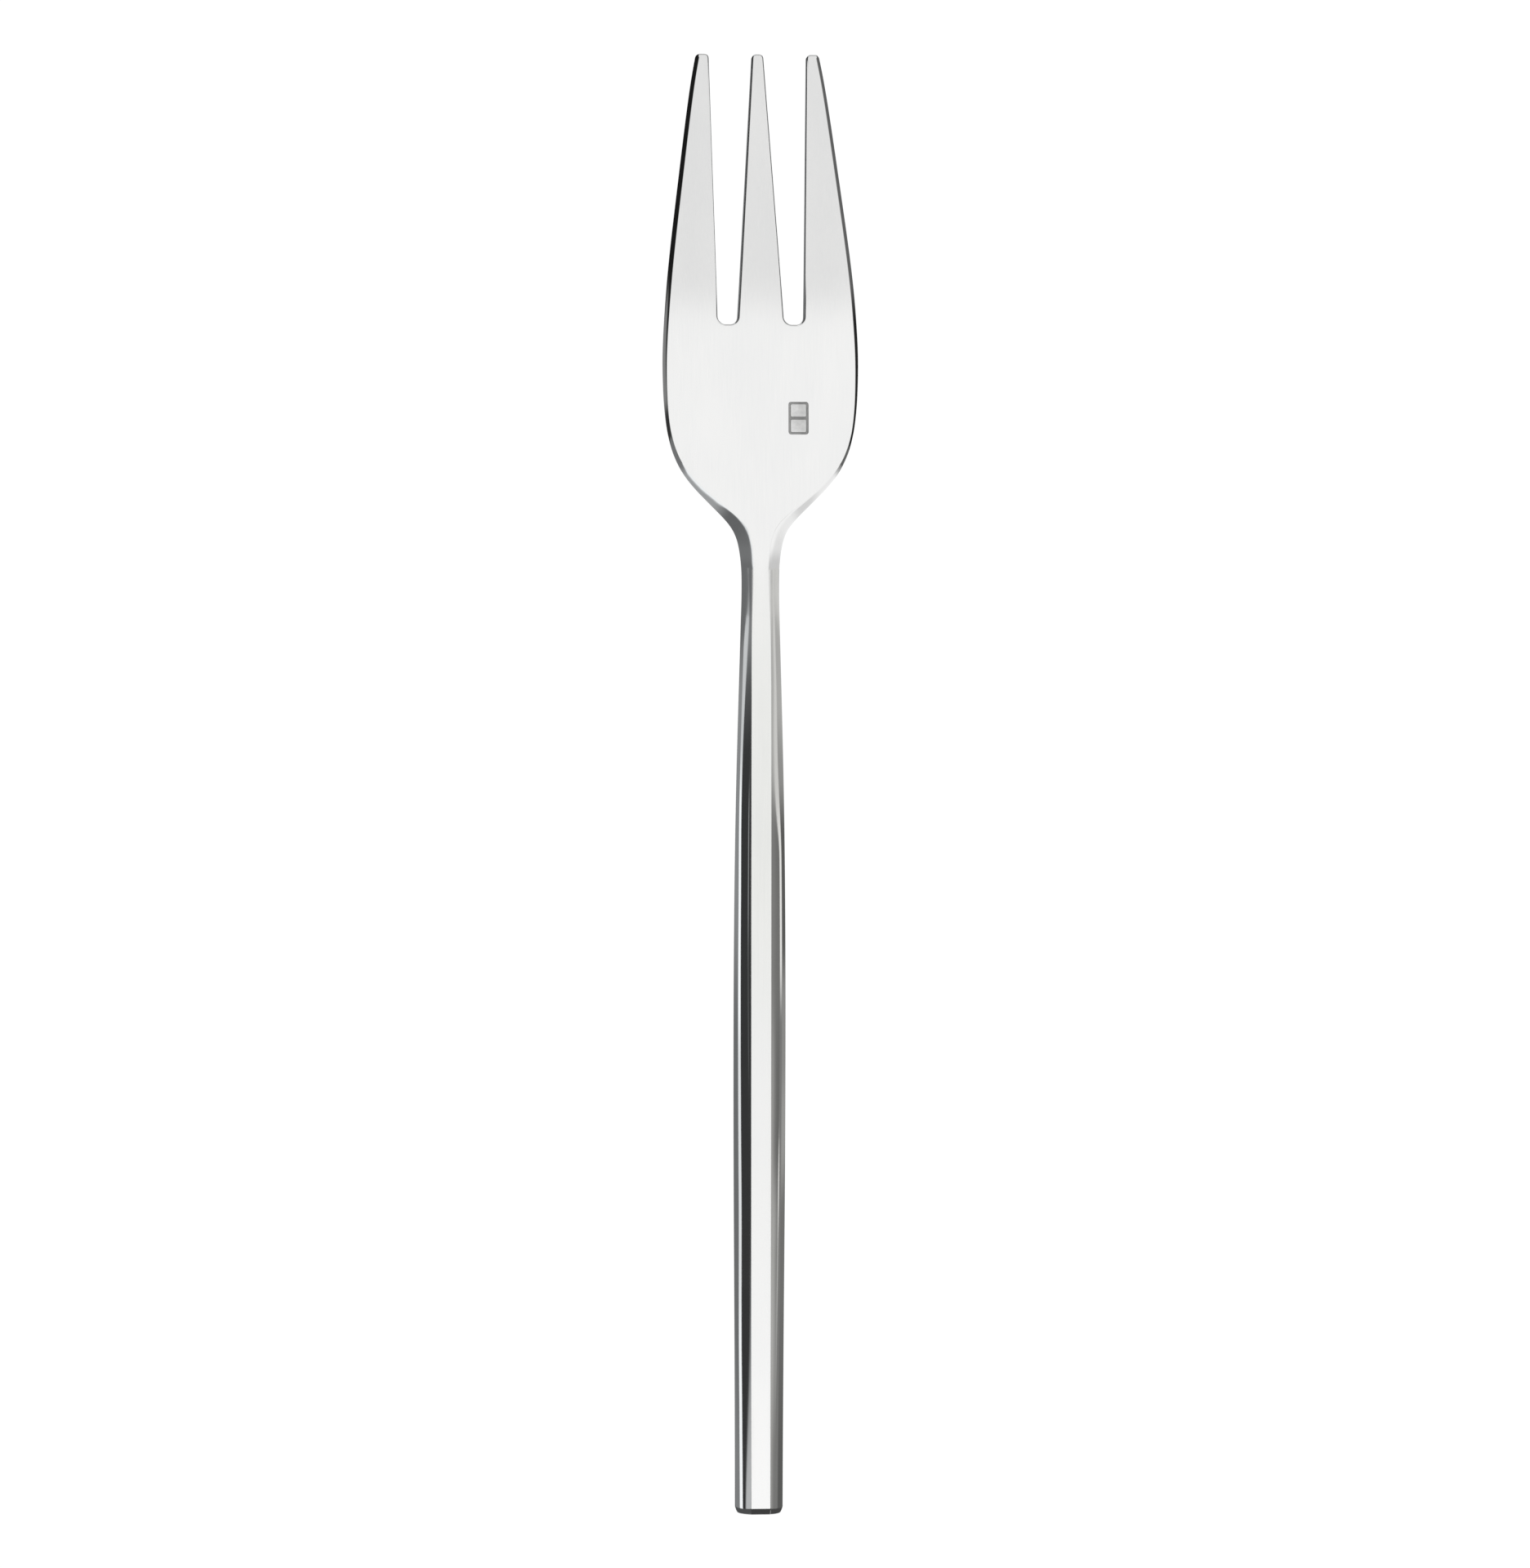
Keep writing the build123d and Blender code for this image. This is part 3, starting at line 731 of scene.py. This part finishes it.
def build_cap():
    skin = Skin()
    cap_y = BUTT_Y + CAP_T
    rim = [(1.00, 0.0), (0.93, 0.012), (0.85, 0.045), (0.70, 0.155), (0.50, 0.33), (0.30, 0.53), (0.12, 0.75),
           (0.05, 0.86), (0.015, 0.945), (0.0, 1.04)]
    stations = [(cap_y, 0.0), (cap_y - 0.15, 0.0), (cap_y - 0.3, 0.0)]
    stations += [(BUTT_Y + a * CAP_BEVEL_L, b * CAP_BEVEL_W) for a, b in rim]

    def place(y, xh):
        return axis_point(y) + xh[:, :1] * ACROSS + xh[:, 1:] * UP

    patches = [np.stack([place(y, section(y, d)[k]) for y, d in stations]) for k in range(4)]
    axis = axis_point(cap_y)
    normals = [grid_normals(p, p - axis) for p in patches]
    for nrm in normals:
        nrm[-1] = -ALONG
    for k in (0, 2):              # the flats' normals, along the lines where flanks meet flats
        normals[k][:, -1], normals[k][:, 0] = normals[k + 1][:, 0], normals[(k + 3) % 4][:, -1]
        for j in (1, 3, -4, -2):
            skin.wear(patches[k][:, j], np.ones(len(stations)))
    for p, nrm in zip(patches, normals):
        skin.grid(p, nrm)

    def whole(y, inset):
        return place(y, np.concatenate([q[:-1] for q in section(y, inset)]))

    def disc(loop, facing):
        middle = loop.mean(0)
        for k in range(len(loop)):
            skin.face([middle, loop[k - 1], loop[k]], [facing] * 3)

    disc(np.concatenate([p[-1, :-1] for p in patches]), -ALONG)
    outer, inner = whole(cap_y, 0.0), whole(cap_y, WALL + SPIGOT_GAP)
    end = np.stack([outer, inner])
    skin.grid(end, np.broadcast_to(ALONG, end.shape), closed=True)
    spigot = np.stack([inner, inner + SPIGOT_L * ALONG])
    skin.grid(spigot, grid_normals(spigot, spigot - axis, closed=True), closed=True)
    disc(spigot[1], ALONG)
    return skin.build("end_cap_steel", "end_cap", [STEEL])


build_head()
build_shell("upper_shell_steel", "handle_upper_shell", 1)
build_shell("lower_shell_steel", "handle_lower_shell", -1)
build_cap()

# the filler is the CAD solid itself, out of sight inside the handle
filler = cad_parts["handle_filler"]
filler.data.materials.clear()
filler.data.materials.append(CEMENT)

# ================================================================ floor
floor_mat, tree, bsdf = shader("Pale floor")
place = tree.nodes.new("ShaderNodeTexCoord").outputs["Object"]
paper = noise(tree, place, 40.0, 3.0)
tree.links.new(tint(tree, paper, (0.14, 0.14, 0.14), (0.16, 0.16, 0.16)), bsdf.inputs["Base Color"])
bsdf.inputs["Roughness"].default_value = 0.9
bsdf.inputs["Specular IOR Level"].default_value = 0.0
bsdf.inputs["Emission Color"].default_value = (1, 1, 1, 1)
bsdf.inputs["Emission Strength"].default_value = 0.96
me = bpy.data.meshes.new("Floor")
me.from_pydata([(-3, -3, 0), (3, -3, 0), (3, 3, 0), (-3, 3, 0)], [], [(0, 1, 2, 3)])
me.materials.append(floor_mat)
floor = bpy.data.objects.new("Floor", me)
bpy.context.scene.collection.objects.link(floor)
floor.location.z = -0.00002
floor.visible_glossy = False

# ================================================================ studio light
# The room is in the world: a wide softbox overhead, dim on the left and pale on the right. Boards
# stand close beside the fork, which only the steel's mirror sees: a dark flag with a bright gap
# under it beside the handle, a grey one on its right, and darker ones beside the tines.
world = bpy.data.worlds.new("Studio")
bpy.context.scene.world = world
world.use_nodes = True
tree = world.node_tree
tree.nodes.clear()


def calc(op, a, b=0.0):
    return maths(tree, op, a, b)


def ramp(x, low, high):
    """0 below low, 1 above high, soft between."""
    r = tree.nodes.new("ShaderNodeMapRange")
    r.interpolation_type = "SMOOTHSTEP"
    for name, v in (("From Min", low), ("From Max", high)):
        if isinstance(v, (int, float)):
            r.inputs[name].default_value = v
        else:
            tree.links.new(v, r.inputs[name])
    tree.links.new(x, r.inputs["Value"])
    return r.outputs["Result"]


def mix(a, b, t):
    """a where t is 0, b where it is 1."""
    m = tree.nodes.new("ShaderNodeMix")
    m.data_type = "FLOAT"
    for name, v in (("A", a), ("B", b), ("Factor", t)):
        if isinstance(v, (int, float)):
            m.inputs[name].default_value = v
        else:
            tree.links.new(v, m.inputs[name])
    return m.outputs["Result"]


def less(x):
    return calc("SUBTRACT", 1.0, x)


def within(x, a, b, c, d):
    """0 outside a to d, 1 from b to c."""
    return calc("MULTIPLY", ramp(x, a, b), less(ramp(x, c, d)))


split = tree.nodes.new("ShaderNodeSeparateXYZ")
tree.links.new(tree.nodes.new("ShaderNodeTexCoord").outputs["Generated"], split.inputs[0])
x, y, z = split.outputs
turn = calc("MULTIPLY", calc("ARCTAN2", x, z), 57.29578)        # 0 overhead, + to the right
lift = calc("MULTIPLY", calc("ARCSINE", y), 57.29578)           # + towards the tips
left, back = calc("MULTIPLY", turn, -1.0), calc("MULTIPLY", lift, -1.0)

# overhead softbox, brighter towards the butt and a little dimmer over the middle and the tines
top = mix(1.085, 1.19, ramp(back, 4.8, 7.6))
top = mix(top, 1.0, within(back, -0.9, 0.2, 2.2, 3.4))
top = mix(top, 0.925, ramp(lift, 7.4, 20.5))
top = mix(top, 0.06, ramp(back, 12.0, 19.0))
# the room on the left, dark behind the neck's shoulder
room = mix(mix(0.46, 0.22, ramp(left, 34.0, 75.0)), 0.36, ramp(lift, 8.0, 14.0))
room = mix(room, mix(0.11, 0.33, ramp(left, 75.0, 100.0)), ramp(back, 10.0, 24.0))
studio = mix(top, room, ramp(left, 14.0, 42.0))
# the room on the right, pale, with a greyer table
room = mix(mix(0.62, 0.78, ramp(turn, 30.0, 60.0)), 0.95, ramp(back, 6.0, 14.0))
room = mix(room, 0.65, ramp(lift, 8.0, 14.0))
studio = mix(studio, room, ramp(turn, 23.0, 32.0))
studio = mix(studio, mix(0.46, 0.95, ramp(back, 8.0, 16.0)), ramp(turn, 98.0, 112.0))
# the far ends of the room, dark behind the butt
studio = mix(studio, 0.12, calc("MULTIPLY", ramp(back, 20.0, 35.0), ramp(calc("ABSOLUTE", turn), 140.0, 160.0)))
studio = mix(studio, 0.12, ramp(back, 74.0, 84.0))
studio = mix(studio, 0.60, ramp(lift, 38.0, 55.0))

shade = tree.nodes.new("ShaderNodeCombineColor")
for k, (over, beside) in enumerate(((1.0, 0.975), (1.006, 1.0), (0.984, 1.02))):
    cast = mix(mix(1.0, over, within(back, -1.2, 0.0, 2.4, 3.6)), beside, ramp(left, 20.0, 50.0))
    tree.links.new(calc("MULTIPLY", studio, cast), shade.inputs[k])
glow = tree.nodes.new("ShaderNodeBackground")
tree.links.new(shade.outputs[0], glow.inputs["Color"])
plain = tree.nodes.new("ShaderNodeBackground")
plain.inputs["Color"].default_value = (1, 1, 1, 1)
seen = tree.nodes.new("ShaderNodeLightPath")
pick = tree.nodes.new("ShaderNodeMixShader")
tree.links.new(seen.outputs["Is Camera Ray"], pick.inputs[0])
tree.links.new(glow.outputs[0], pick.inputs[1])
tree.links.new(plain.outputs[0], pick.inputs[2])
out = tree.nodes.new("ShaderNodeOutputWorld")
tree.links.new(pick.outputs[0], out.inputs["Surface"])



def board(name, corners, tone, glow, cover):
    """A board beside the fork that only mirrors see, from two opposite corners of an upright one or
    from all four. glow and cover give its light and how much of it is there, from X, Y and Z in
    millimetres."""
    global tree
    mat = bpy.data.materials.new(name)
    mat.use_nodes = True
    tree = mat.node_tree
    tree.nodes.clear()
    split = tree.nodes.new("ShaderNodeSeparateXYZ")
    tree.links.new(tree.nodes.new("ShaderNodeTexCoord").outputs["Object"], split.inputs[0])
    place = [calc("MULTIPLY", c, 1000.0) for c in split.outputs]
    light = tree.nodes.new("ShaderNodeEmission")
    light.inputs["Color"].default_value = (*tone, 1)
    tree.links.new(glow(*place), light.inputs["Strength"])
    clear = tree.nodes.new("ShaderNodeBsdfTransparent")
    pick = tree.nodes.new("ShaderNodeMixShader")
    tree.links.new(cover(*place), pick.inputs[0])
    tree.links.new(clear.outputs[0], pick.inputs[1])
    tree.links.new(light.outputs[0], pick.inputs[2])
    out = tree.nodes.new("ShaderNodeOutputMaterial")
    tree.links.new(pick.outputs[0], out.inputs["Surface"])
    ring = corners
    if len(corners) == 2:
        (x0, y0, z0), (x1, y1, z1) = corners
        ring = [(x0, y0, z0), (x1, y1, z0), (x1, y1, z1), (x0, y0, z1)]
    me = bpy.data.meshes.new(name)
    me.from_pydata([[c * 0.001 for c in p] for p in ring], [], [(0, 1, 2, 3)])
    me.materials.append(mat)
    ob = bpy.data.objects.new(name, me)
    bpy.context.scene.collection.objects.link(ob)
    ob.visible_camera = ob.visible_diffuse = ob.visible_shadow = False
    ob.visible_transmission = ob.visible_volume_scatter = False


def handle_left_gap(y, z):
    """0 in the bright gap under the left flag, 1 above it. The gap climbs towards the neck."""
    neck = ramp(y, -1.0, 24.0)
    neck = mix(neck, calc("MULTIPLY", neck, neck), 0.6)
    return ramp(z, mix(2.5, 26.0, neck), mix(6.5, 46.0, neck))


def handle_left(x, y, z):
    away = calc("MULTIPLY", y, -1.0)
    z = calc("SUBTRACT", z, mix(mix(0.0, 6.0, ramp(away, 2.0, 14.0)), -5.0, ramp(away, 46.0, 66.0)))
    butt = ramp(away, 56.0, 84.0)
    edge = mix(80.0, 22.0, butt)
    flag = mix(0.042, mix(0.042, 0.57, butt), ramp(z, calc("MULTIPLY", edge, 0.8), calc("MULTIPLY", edge, 1.25)))
    line = calc("MULTIPLY", within(z, 78.0, 88.0, 96.0, 108.0), within(away, 0.0, 5.0, 34.0, 40.0))
    flag = mix(flag, mix(0.30, 0.11, ramp(away, 16.0, 24.0)), line)
    flag = mix(mix(flag, 0.10, ramp(y, 3.0, 11.0)), 0.26, ramp(y, 10.0, 17.0))
    gap = mix(mix(mix(1.20, 0.95, ramp(away, 25.0, 32.0)), 1.15, ramp(away, 55.0, 65.0)), 0.70, ramp(y, -3.0, 6.0))
    table = mix(mix(0.30, 0.18, ramp(away, 12.0, 30.0)), 0.25, ramp(away, 64.0, 80.0))
    table = mix(mix(table, 0.24, ramp(y, 12.0, 16.0)), 0.17, ramp(y, 16.0, 18.5))
    # the table's far edge climbs past the gap beside the neck, where all is dark
    foot = mix(-16.5, 22.0, ramp(y, 15.5, 23.0))
    side = mix(table, mix(gap, flag, handle_left_gap(y, z)), ramp(z, calc("SUBTRACT", foot, 3.5), calc("ADD", foot, 3.5)))
    # dark past the butt
    return mix(mix(side, 0.17, ramp(y, 18.0, 21.8)), 0.09, ramp(away, 88.0, 100.0))


def handle_left_cover(x, y, z):
    return mix(1.0, less(ramp(z, 80.0, 250.0)), ramp(y, 6.0, 14.0))


def handle_right(x, y, z):
    away = calc("MULTIPLY", y, -1.0)
    tall, low = ramp(z, 25.0, 90.0), ramp(z, 12.0, 48.0)
    flag = mix(mix(0.19, 0.23, tall), mix(0.16, 0.36, tall), ramp(away, 24.0, 36.0))
    flag = mix(flag, mix(0.24, 0.43, low), ramp(away, 42.0, 52.0))
    flag = mix(flag, mix(0.30, 0.48, low), ramp(away, 54.0, 64.0))
    flag = mix(flag, mix(0.22, 0.36, low), ramp(away, 66.0, 78.0))
    flag = mix(flag, 0.50, ramp(y, -6.0, 1.0))
    gap = mix(mix(0.95, 0.22, ramp(away, 19.5, 28.0)), 0.70, ramp(y, -8.0, -1.0))
    # a streak low on the lower handle
    streak = mix(mix(0.85, 0.48, ramp(away, 46.0, 54.0)), 0.38, ramp(away, 56.0, 64.0))
    streak_at = calc("MULTIPLY", within(z, 6.0, 9.5, 13.5, 17.0), within(away, 39.0, 44.0, 62.0, 72.0))
    table = mix(mix(0.12, 0.30, ramp(away, 18.0, 25.0)), 0.36, ramp(away, 32.0, 38.0))
    table = mix(mix(table, 0.19, ramp(away, 42.0, 50.0)), 0.12, ramp(away, 56.0, 80.0))
    table = mix(mix(table, 0.33, ramp(y, -6.0, 1.6)), 0.47, ramp(y, 1.6, 10.0))
    # the gap's edges: a steep wedge at the middle of the handle, lower again towards the neck
    wedge, neck = ramp(y, -8.5, -0.5), ramp(y, 3.0, 13.0)
    above = ramp(z, mix(mix(9.0, 42.0, wedge), 25.0, neck), mix(mix(13.0, 64.0, wedge), 40.0, neck))
    foot = mix(mix(-8.0, 15.0, ramp(y, -9.0, 3.0)), 9.0, neck)
    below = less(ramp(z, calc("SUBTRACT", foot, 4.0), calc("ADD", foot, 4.0)))
    side = mix(mix(mix(gap, flag, above), streak, streak_at), table, below)
    # pale beside the neck, dark past the butt
    return mix(mix(side, 0.68, ramp(y, 17.0, 22.0)), 0.07, ramp(away, 88.0, 100.0))


def all_there(x, y, z):
    return less(ramp(y, 900.0, 999.0))


def tines_left(x, y, z):
    edge = mix(0.035, mix(0.25, 0.03, ramp(z, -8.0, 1.0)), ramp(y, 36.0, 41.0))
    return mix(edge, 0.012, ramp(y, 57.0, 67.0))


def tines_left_cover(x, y, z):
    far = ramp(y, 58.0, 66.0)
    return calc("MULTIPLY", ramp(y, 23.0, 28.0), less(ramp(z, mix(24.0, 45.0, far), mix(40.0, 75.0, far))))


def tines_right(x, y, z):
    return mix(0.02, 0.14, ramp(y, 56.0, 66.0))


def tines_right_cover(x, y, z):
    return less(ramp(z, 24.0, 40.0))


def shoulder_left(x, y, z):
    out = calc("MULTIPLY", x, -1.0)
    low = mix(mix(0.17, 0.20, ramp(out, 2.4, 3.1)), 0.15, ramp(out, 3.4, 4.4))
    low = mix(mix(low, 0.40, ramp(out, 4.75, 6.1)), 0.21, ramp(out, 8.4, 9.35))
    # the pale top reaches lower towards the blade
    near, mid, far, end = ramp(out, 2.5, 3.8), ramp(out, 4.3, 5.9), ramp(out, 6.0, 7.2), ramp(out, 8.5, 9.4)
    start = mix(mix(mix(mix(7.2, 9.0, near), 4.6, mid), 4.0, far), 5.4, end)
    full = mix(mix(mix(mix(11.2, 15.0, near), 7.2, mid), 6.0, far), 8.6, end)
    return mix(low, 1.07, ramp(z, start, full))


def shoulder_right(x, y, z):
    low = mix(mix(0.68, 0.90, ramp(x, 2.6, 3.8)), 1.0, ramp(x, 3.8, 4.6))
    low = mix(low, 0.79, within(x, 4.8, 5.6, 6.1, 7.4))
    low = mix(low, 0.30, ramp(x, 8.4, 9.35))
    return mix(low, mix(0.68, 1.07, ramp(x, 2.5, 4.0)), ramp(z, 6.2, 9.0))


def shoulder_cover(x, y, z):
    return less(ramp(z, 14.0, 24.0))


def wall_left(x, y, z):
    return mix(0.37, 0.20, ramp(calc("MULTIPLY", x, -1.0), 11.0, 22.0))


def wall_right(x, y, z):
    return mix(0.92, 0.14, ramp(x, 11.0, 18.0))


def wall_cover(x, y, z):
    return within(z, -80.0, -60.0, 50.0, 78.0)


def slot_card(x, y, z):
    return mix(0.95, 0.90, ramp(z, 5.0, 20.0))


def slot_card_cover(x, y, z):
    return ramp(y, 49.5, 53.0)


COOL, WARM = (0.975, 1.0, 1.02), (1.01, 1.005, 0.98)
board("Handle_flag_left", ((-60, -160, -250), (-60, 26, 350)), COOL, handle_left, handle_left_cover)
board("Handle_flag_right", ((60, -160, -250), (60, 24, 350)), WARM, handle_right, all_there)
board("Tine_flag_left", ((-60.5, 22, -250), (-60.5, 160, 80)), (1, 1, 1), tines_left, tines_left_cover)
board("Tine_flag_right", ((60.5, 26.0, -250), (60.5, 160, 45)), (1, 1, 1), tines_right, tines_right_cover)
# low boards along the shoulders, walls beyond them, and a small pale card that leans over a slot
board("Shoulder_board_left", ((-9.4, 32.02, -80), (-2.25, 21.9, 26)), COOL, shoulder_left, shoulder_cover)
board("Shoulder_board_right", ((9.4, 32.02, -80), (2.25, 21.9, 26)), (1, 1, 1), shoulder_right, shoulder_cover)
board("Shoulder_wall_left", ((-80, 26.0, -80), (-9.4, 26.0, 80)), COOL, wall_left, wall_cover)
board("Shoulder_wall_right", ((80, 26.0, -80), (9.4, 26.0, 80)), (1, 1, 1), wall_right, wall_cover)
SLOT_CARD = ((2.75, 46.5, 5.4), (1.0, 76.0, 1.8), (4.6, 76.0, 21.8), (6.35, 46.5, 25.4))
board("Slot_card", SLOT_CARD, (1, 1, 1), slot_card, slot_card_cover)

# ================================================================ camera
# Nearly straight down, leaning a little to the left. The frame is 1920 px high for 161.07 mm.
CAM_LEAN, CAM_FAR, FRAME_H = math.radians(5.5), 650.0, 161.07
target = np.array([0.586, -0.168, 3.0])
back_way = np.array([-math.sin(CAM_LEAN), 0.0, math.cos(CAM_LEAN)])
right_way = np.array([math.cos(CAM_LEAN), 0.0, math.sin(CAM_LEAN)])
spot = (target + CAM_FAR * back_way) * 0.001
cam = bpy.data.cameras.new("Camera")
cam.sensor_width = 36.0
cam.lens = 36.0 * CAM_FAR / FRAME_H
cam.clip_start, cam.clip_end = 0.01, 50.0
eye = bpy.data.objects.new("Camera", cam)
bpy.context.scene.collection.objects.link(eye)
eye.matrix_world = Matrix([
    [right_way[k], (0.0, 1.0, 0.0)[k], back_way[k], spot[k]] for k in range(3)
] + [[0, 0, 0, 1]])
bpy.context.scene.camera = eye

view = bpy.context.scene.view_settings
view.view_transform, view.look, view.exposure, view.gamma = "Standard", "None", 0.0, 1.0
